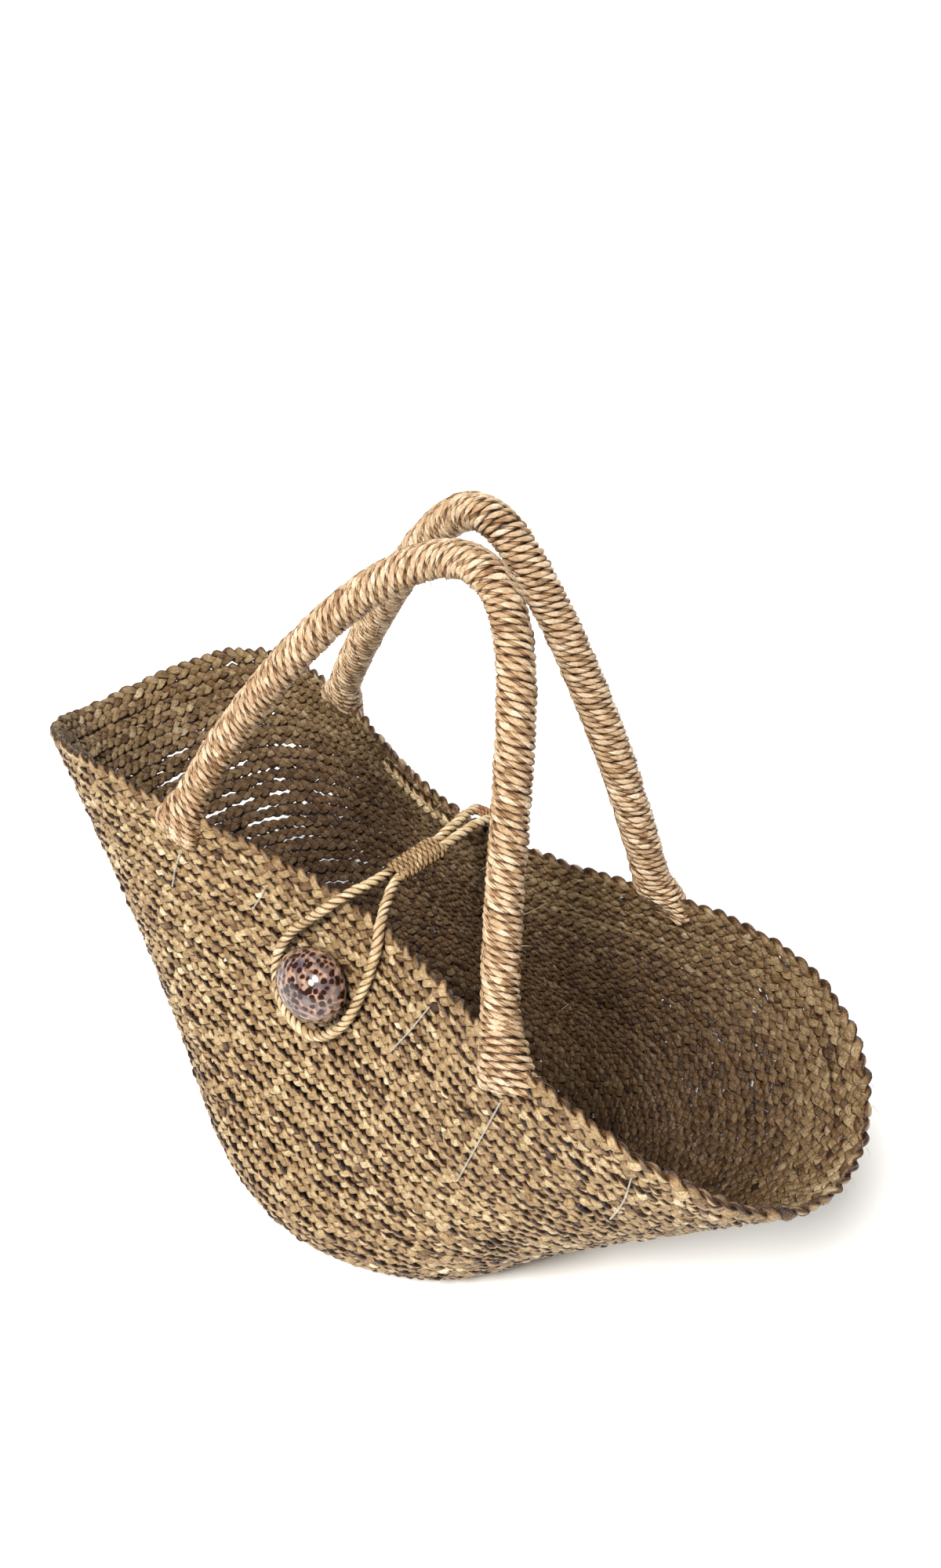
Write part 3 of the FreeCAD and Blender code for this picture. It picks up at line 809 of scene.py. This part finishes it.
class Nodes:
    """Short way to add and join the nodes of one material."""

    def __init__(self, name):
        self.material = bpy.data.materials.new(name)
        self.material.use_nodes = True
        self.tree = self.material.node_tree
        self.shader = self.tree.nodes["Principled BSDF"]

    def add(self, kind, **settings):
        node = self.tree.nodes.new(kind)
        for label, value in settings.items():
            setattr(node, label, value)
        return node

    def join(self, source, target):
        self.tree.links.new(source, target)

    def attribute(self, name):
        return self.add("ShaderNodeAttribute", attribute_name=name).outputs["Fac"]

    def math(self, operation, first, second):
        node = self.add("ShaderNodeMath", operation=operation)
        for socket, value in zip(node.inputs, (first, second)):
            if isinstance(value, (int, float)):
                socket.default_value = value
            else:
                self.join(value, socket)
        return node.outputs[0]

    def vector(self, x, y, z):
        node = self.add("ShaderNodeCombineXYZ")
        for socket, value in zip(node.inputs, (x, y, z)):
            if isinstance(value, (int, float)):
                socket.default_value = value
            else:
                self.join(value, socket)
        return node.outputs[0]

    def noise(self, vector, scale, detail=2.0, roughness=0.5):
        node = self.add("ShaderNodeTexNoise")
        node.inputs["Scale"].default_value = scale
        node.inputs["Detail"].default_value = detail
        node.inputs["Roughness"].default_value = roughness
        self.join(vector, node.inputs["Vector"])
        return node.outputs["Fac"]

    def ramp(self, value, stops):
        node = self.add("ShaderNodeValToRGB")
        elements = node.color_ramp.elements
        while len(elements) < len(stops):
            elements.new(0.5)
        for element, (position, colour) in zip(elements, stops):
            element.position = position
            element.color = colour
        self.join(value, node.inputs["Fac"])
        return node.outputs["Color"]

    def mix(self, share, first, second, blend="MIX"):
        node = self.add("ShaderNodeMix", data_type="RGBA", blend_type=blend)
        colour_inputs = [socket for socket in node.inputs if socket.type == "RGBA"]
        for socket, value in zip([node.inputs[0]] + colour_inputs, (share, first, second)):
            if isinstance(value, (int, float, tuple)):
                socket.default_value = value
            else:
                self.join(value, socket)
        return [socket for socket in node.outputs if socket.type == "RGBA"][0]

    def bump(self, height, strength, distance):
        node = self.add("ShaderNodeBump")
        node.inputs["Strength"].default_value = strength
        node.inputs["Distance"].default_value = distance
        self.join(height, node.inputs["Height"])
        self.join(node.outputs["Normal"], self.shader.inputs["Normal"])


def fibre_material(name, stops, roughness, streak_share, bump, inner_shade_colour=None, crease_shade_amount=0.35):
    """Dried plant fibre: a colour for each strand, long streaks, small stains and a fine lengthwise grain,
    with painted shade along the fold lines, towards the strands' edges, wherever the shade attribute is low
    and, where an inside colour is given, on the inner side."""
    n = Nodes(name)
    along, around = n.attribute("along"), n.attribute("around")
    streak_place = n.vector(n.math("MULTIPLY", along, 0.11), n.math("MULTIPLY", around, 2.6), 0.0)
    streaks = n.noise(streak_place, 2.4, 3.0, 0.6)
    grain_place = n.vector(n.math("MULTIPLY", along, 0.09), n.math("MULTIPLY", around, 7.0), 3.0)
    grain = n.noise(grain_place, 2.6, 2.0)
    blotches = n.noise(n.vector(n.math("MULTIPLY", along, 0.25), around, 7.0), 1.0, 1.0)
    fold_place = n.vector(n.math("MULTIPLY", along, 0.34), n.math("MULTIPLY", around, 0.9), 11.0)
    folds = n.noise(fold_place, 1.0, 2.0)
    fold_depth = n.math("ABSOLUTE", n.math("SUBTRACT", folds, 0.5), 0.0)
    streak_tone = n.math("MULTIPLY", n.math("SUBTRACT", streaks, 0.5), streak_share)
    blotch_tone = n.math("MULTIPLY", n.math("SUBTRACT", blotches, 0.5), 0.35)
    tone = n.math("ADD", n.math("ADD", n.attribute("tone"), streak_tone), blotch_tone)
    colour = n.ramp(tone, stops)
    # Painted shade: darker towards each strand's edges and where the shade attribute is low.
    edge_shade = n.math("POWER", n.math("ABSOLUTE", around, 0.0), 3.5)
    open_to_light = n.math("SUBTRACT", n.attribute("shade"), n.math("MULTIPLY", edge_shade, 0.75))
    crevice_shade = n.ramp(open_to_light, [(0.05, srgb(62, 32, 10)), (0.45, srgb(166, 140, 108)), (0.78, WHITE)])
    colour = n.mix(1.0, colour, crevice_shade, "MULTIPLY")
    # Painted shade along the fold lines, where the bump sinks in.
    crease_shade = n.ramp(fold_depth, [(0.0, srgb(78, 46, 20)), (0.045, WHITE)])
    colour = n.mix(crease_shade_amount, colour, crease_shade, "MULTIPLY")
    # Painted shade on the inner side, in the given inside colour.
    if inner_shade_colour is not None:
        colour = n.mix(n.math("MULTIPLY", n.attribute("inner"), 0.85), colour, inner_shade_colour, "MULTIPLY")
    n.join(colour, n.shader.inputs["Base Color"])
    n.join(n.math("ADD", n.math("MULTIPLY", streaks, 0.3), roughness - 0.15), n.shader.inputs["Roughness"])
    relief = n.math("ADD", grain, n.math("MINIMUM", n.math("MULTIPLY", fold_depth, 9.0), 0.9))
    n.bump(relief, bump, 0.0006)
    n.shader.inputs["Specular IOR Level"].default_value = 0.5
    return n.material


def plait_material():
    stops = [(0.0, srgb(62, 36, 14)), (0.2, srgb(104, 73, 38)), (0.4, srgb(150, 121, 81)),
             (0.6, srgb(182, 155, 112)), (0.82, srgb(216, 196, 156)), (1.0, srgb(242, 228, 196))]
    # The inside colour is painted shade for the basket's inner side.
    return fibre_material("seagrass", stops, 0.4, 0.7, 0.7, inner_shade_colour=srgb(104, 76, 42),
                          crease_shade_amount=0.45)


def raffia_material():
    stops = [(0.0, srgb(128, 88, 50)), (0.25, srgb(178, 142, 102)), (0.5, srgb(210, 179, 142)),
             (0.75, srgb(230, 206, 174)), (1.0, srgb(244, 228, 202))]
    return fibre_material("raffia", stops, 0.48, 0.5, 0.6)


def cord_material():
    stops = [(0.0, srgb(134, 100, 60)), (0.3, srgb(180, 152, 110)), (0.6, srgb(208, 184, 144)),
             (0.85, srgb(230, 212, 176)), (1.0, srgb(242, 228, 198))]
    return fibre_material("straw_cord", stops, 0.42, 0.5, 0.5)


def twine_material(name, shift):
    """Twine. shift makes it redder."""
    stops = [(0.0, srgb(112 + shift, 82, 46)), (0.4, srgb(158 + shift, 126, 84)),
             (0.7, srgb(190 + shift, 160, 116)), (1.0, srgb(222, 198, 156))]
    return fibre_material(name, stops, 0.5, 0.4, 0.4)


def shell_material():
    """Glossy cowrie: milky ground, wavy pale bands, dark spots with warm halos."""
    n = Nodes("cowrie")
    x, y, z = (n.math("MULTIPLY", n.attribute(f"shell_{axis}"), 0.1) for axis in "xyz")
    place = n.vector(x, y, z)
    warp = n.add("ShaderNodeTexNoise")
    warp.inputs["Scale"].default_value = 2.2
    warp.inputs["Detail"].default_value = 2.0
    n.join(place, warp.inputs["Vector"])
    warped = n.add("ShaderNodeVectorMath", operation="MULTIPLY_ADD")
    n.join(warp.outputs["Color"], warped.inputs[0])
    warped.inputs[1].default_value = (0.22, 0.22, 0.22)
    n.join(place, warped.inputs[2])
    ground = n.ramp(n.noise(place, 1.6, 3.0), [(0.3, srgb(62, 62, 76)), (0.48, srgb(104, 94, 96)),
                                              (0.7, srgb(176, 140, 112))])
    cells = n.add("ShaderNodeTexVoronoi")
    cells.inputs["Scale"].default_value = 2.75
    cells.inputs["Randomness"].default_value = 0.75
    n.join(warped.outputs["Vector"], cells.inputs["Vector"])
    size = n.math("ADD", cells.outputs["Distance"], n.math("MULTIPLY", n.noise(place, 3.0, 1.0), -0.18))
    halo = n.ramp(size, [(0.0, (0.8, 0.8, 0.8, 1)), (0.33, (0.7, 0.7, 0.7, 1)), (0.56, BLACK)])
    spot = n.ramp(size, [(0.0, WHITE), (0.31, WHITE), (0.42, BLACK)])
    waves = n.add("ShaderNodeTexWave", bands_direction="DIAGONAL")
    waves.inputs["Scale"].default_value = 0.9
    waves.inputs["Distortion"].default_value = 9.0
    waves.inputs["Detail"].default_value = 2.0
    n.join(place, waves.inputs["Vector"])
    band = n.ramp(waves.outputs["Fac"], [(0.72, BLACK), (0.86, (0.55, 0.55, 0.55, 1))])
    colour = n.mix(band, ground, srgb(198, 158, 126))
    colour = n.mix(halo, colour, srgb(112, 60, 34))
    colour = n.mix(spot, colour, srgb(32, 10, 8))
    n.join(colour, n.shader.inputs["Base Color"])
    n.shader.inputs["Roughness"].default_value = 0.12
    n.shader.inputs["Coat Weight"].default_value = 0.45
    n.shader.inputs["Coat Roughness"].default_value = 0.05
    n.bump(n.noise(place, 5.0, 2.0), 0.06, 0.0005)
    return n.material


def nylon_material():
    n = Nodes("clear_nylon")
    place = n.add("ShaderNodeTexCoord").outputs["Object"]
    haze = n.noise(place, 900.0, 2.0)
    colour = n.ramp(haze, [(0.3, srgb(214, 210, 200)), (0.7, srgb(246, 244, 238))])
    n.join(colour, n.shader.inputs["Base Color"])
    n.shader.inputs["Roughness"].default_value = 0.18
    n.shader.inputs["Transmission Weight"].default_value = 0.75
    n.shader.inputs["IOR"].default_value = 1.5
    return n.material


def floor_material():
    n = Nodes("pale_floor")
    place = n.add("ShaderNodeTexCoord").outputs["Object"]
    n.join(n.ramp(n.noise(place, 3.0, 2.0), [(0.3, (0.90, 0.90, 0.89, 1)), (0.7, (0.93, 0.93, 0.92, 1))]),
           n.shader.inputs["Base Color"])
    n.shader.inputs["Roughness"].default_value = 0.9
    return n.material


# ---------------------------------------------------------------- stage

def make_camera():
    back = (CAMERA_POSITION - CAMERA_TARGET).normalized()
    level_right = Vector((0, 0, 1)).cross(back).normalized()
    level_up = back.cross(level_right)
    right = level_right * math.cos(CAMERA_ROLL) + level_up * math.sin(CAMERA_ROLL)
    up = back.cross(right)
    data = bpy.data.cameras.new("camera")
    data.lens = CAMERA_LENS
    data.clip_start = 0.05
    data.clip_end = 30
    camera = bpy.data.objects.new("camera", data)
    facing = Matrix((right, up, back)).transposed().to_4x4()
    camera.matrix_world = Matrix.Translation(CAMERA_POSITION) @ facing
    bpy.context.scene.collection.objects.link(camera)
    bpy.context.scene.camera = camera


def make_light(name, place, target, size, power, colour):
    data = bpy.data.lights.new(name, "AREA")
    data.shape = "DISK"
    data.size = size
    data.energy = power
    data.color = colour
    light = bpy.data.objects.new(name, data)
    light.location = place
    light.rotation_euler = (Vector(target) - Vector(place)).to_track_quat("-Z", "Y").to_euler()
    bpy.context.scene.collection.objects.link(light)


def make_sun(name, towards, strength, softness_degrees, colour):
    """Distant light that comes from a direction."""
    data = bpy.data.lights.new(name, "SUN")
    data.energy = strength
    data.angle = math.radians(softness_degrees)
    data.color = colour
    light = bpy.data.objects.new(name, data)
    light.rotation_euler = Vector(towards).to_track_quat("Z", "Y").to_euler()
    bpy.context.scene.collection.objects.link(light)


def make_stage():
    bpy.ops.mesh.primitive_plane_add(size=60, location=(0, 0, -0.0005))
    floor = bpy.context.object
    floor.name = "floor"
    floor.data.materials.append(floor_material())
    world = bpy.data.worlds.new("studio")
    world.use_nodes = True
    world.node_tree.nodes["Background"].inputs["Color"].default_value = (1.0, 0.99, 0.97, 1)
    world.node_tree.nodes["Background"].inputs["Strength"].default_value = 0.28
    bpy.context.scene.world = world
    make_sun("key", (0.3, -1.0, 1.35), 4.35, 16, (1.0, 0.98, 0.95))
    make_light("window", (0.15, -1.5, 1.25), (0, 0, 0.15), 0.5, 12, (1.0, 0.98, 0.95))
    make_light("fill", (-0.5, 1.7, 1.0), (0, 0, 0.1), 1.2, 22, (1.0, 0.99, 0.97))
    bpy.context.scene.view_settings.view_transform = "Standard"


def finish_cad_nodes(nylon, twine):
    """Finishes for the pieces that keep their CAD shape: the sewing threads and the shell's tie."""
    for name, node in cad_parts.items():
        if name.startswith("sewing_thread") or name == "shell_tie":
            node.data.materials.clear()
            node.data.materials.append(nylon if name.startswith("sewing") else twine)


make_camera()
straw = cord_material()
build_loop(straw)
twine = twine_material("waxed_twine", 0)
build_whipping(twine)
build_lashing(twine_material("orange_thread", 14))
seagrass = plait_material()
build_plait(seagrass)
build_tail(seagrass)
raffia = raffia_material()
for handle_name, handle_arch in ARCHES.items():
    build_handle(handle_name, handle_arch, raffia, raffia)
build_fibres(raffia)
build_shell(shell_material())
finish_cad_nodes(nylon_material(), twine)
make_stage()
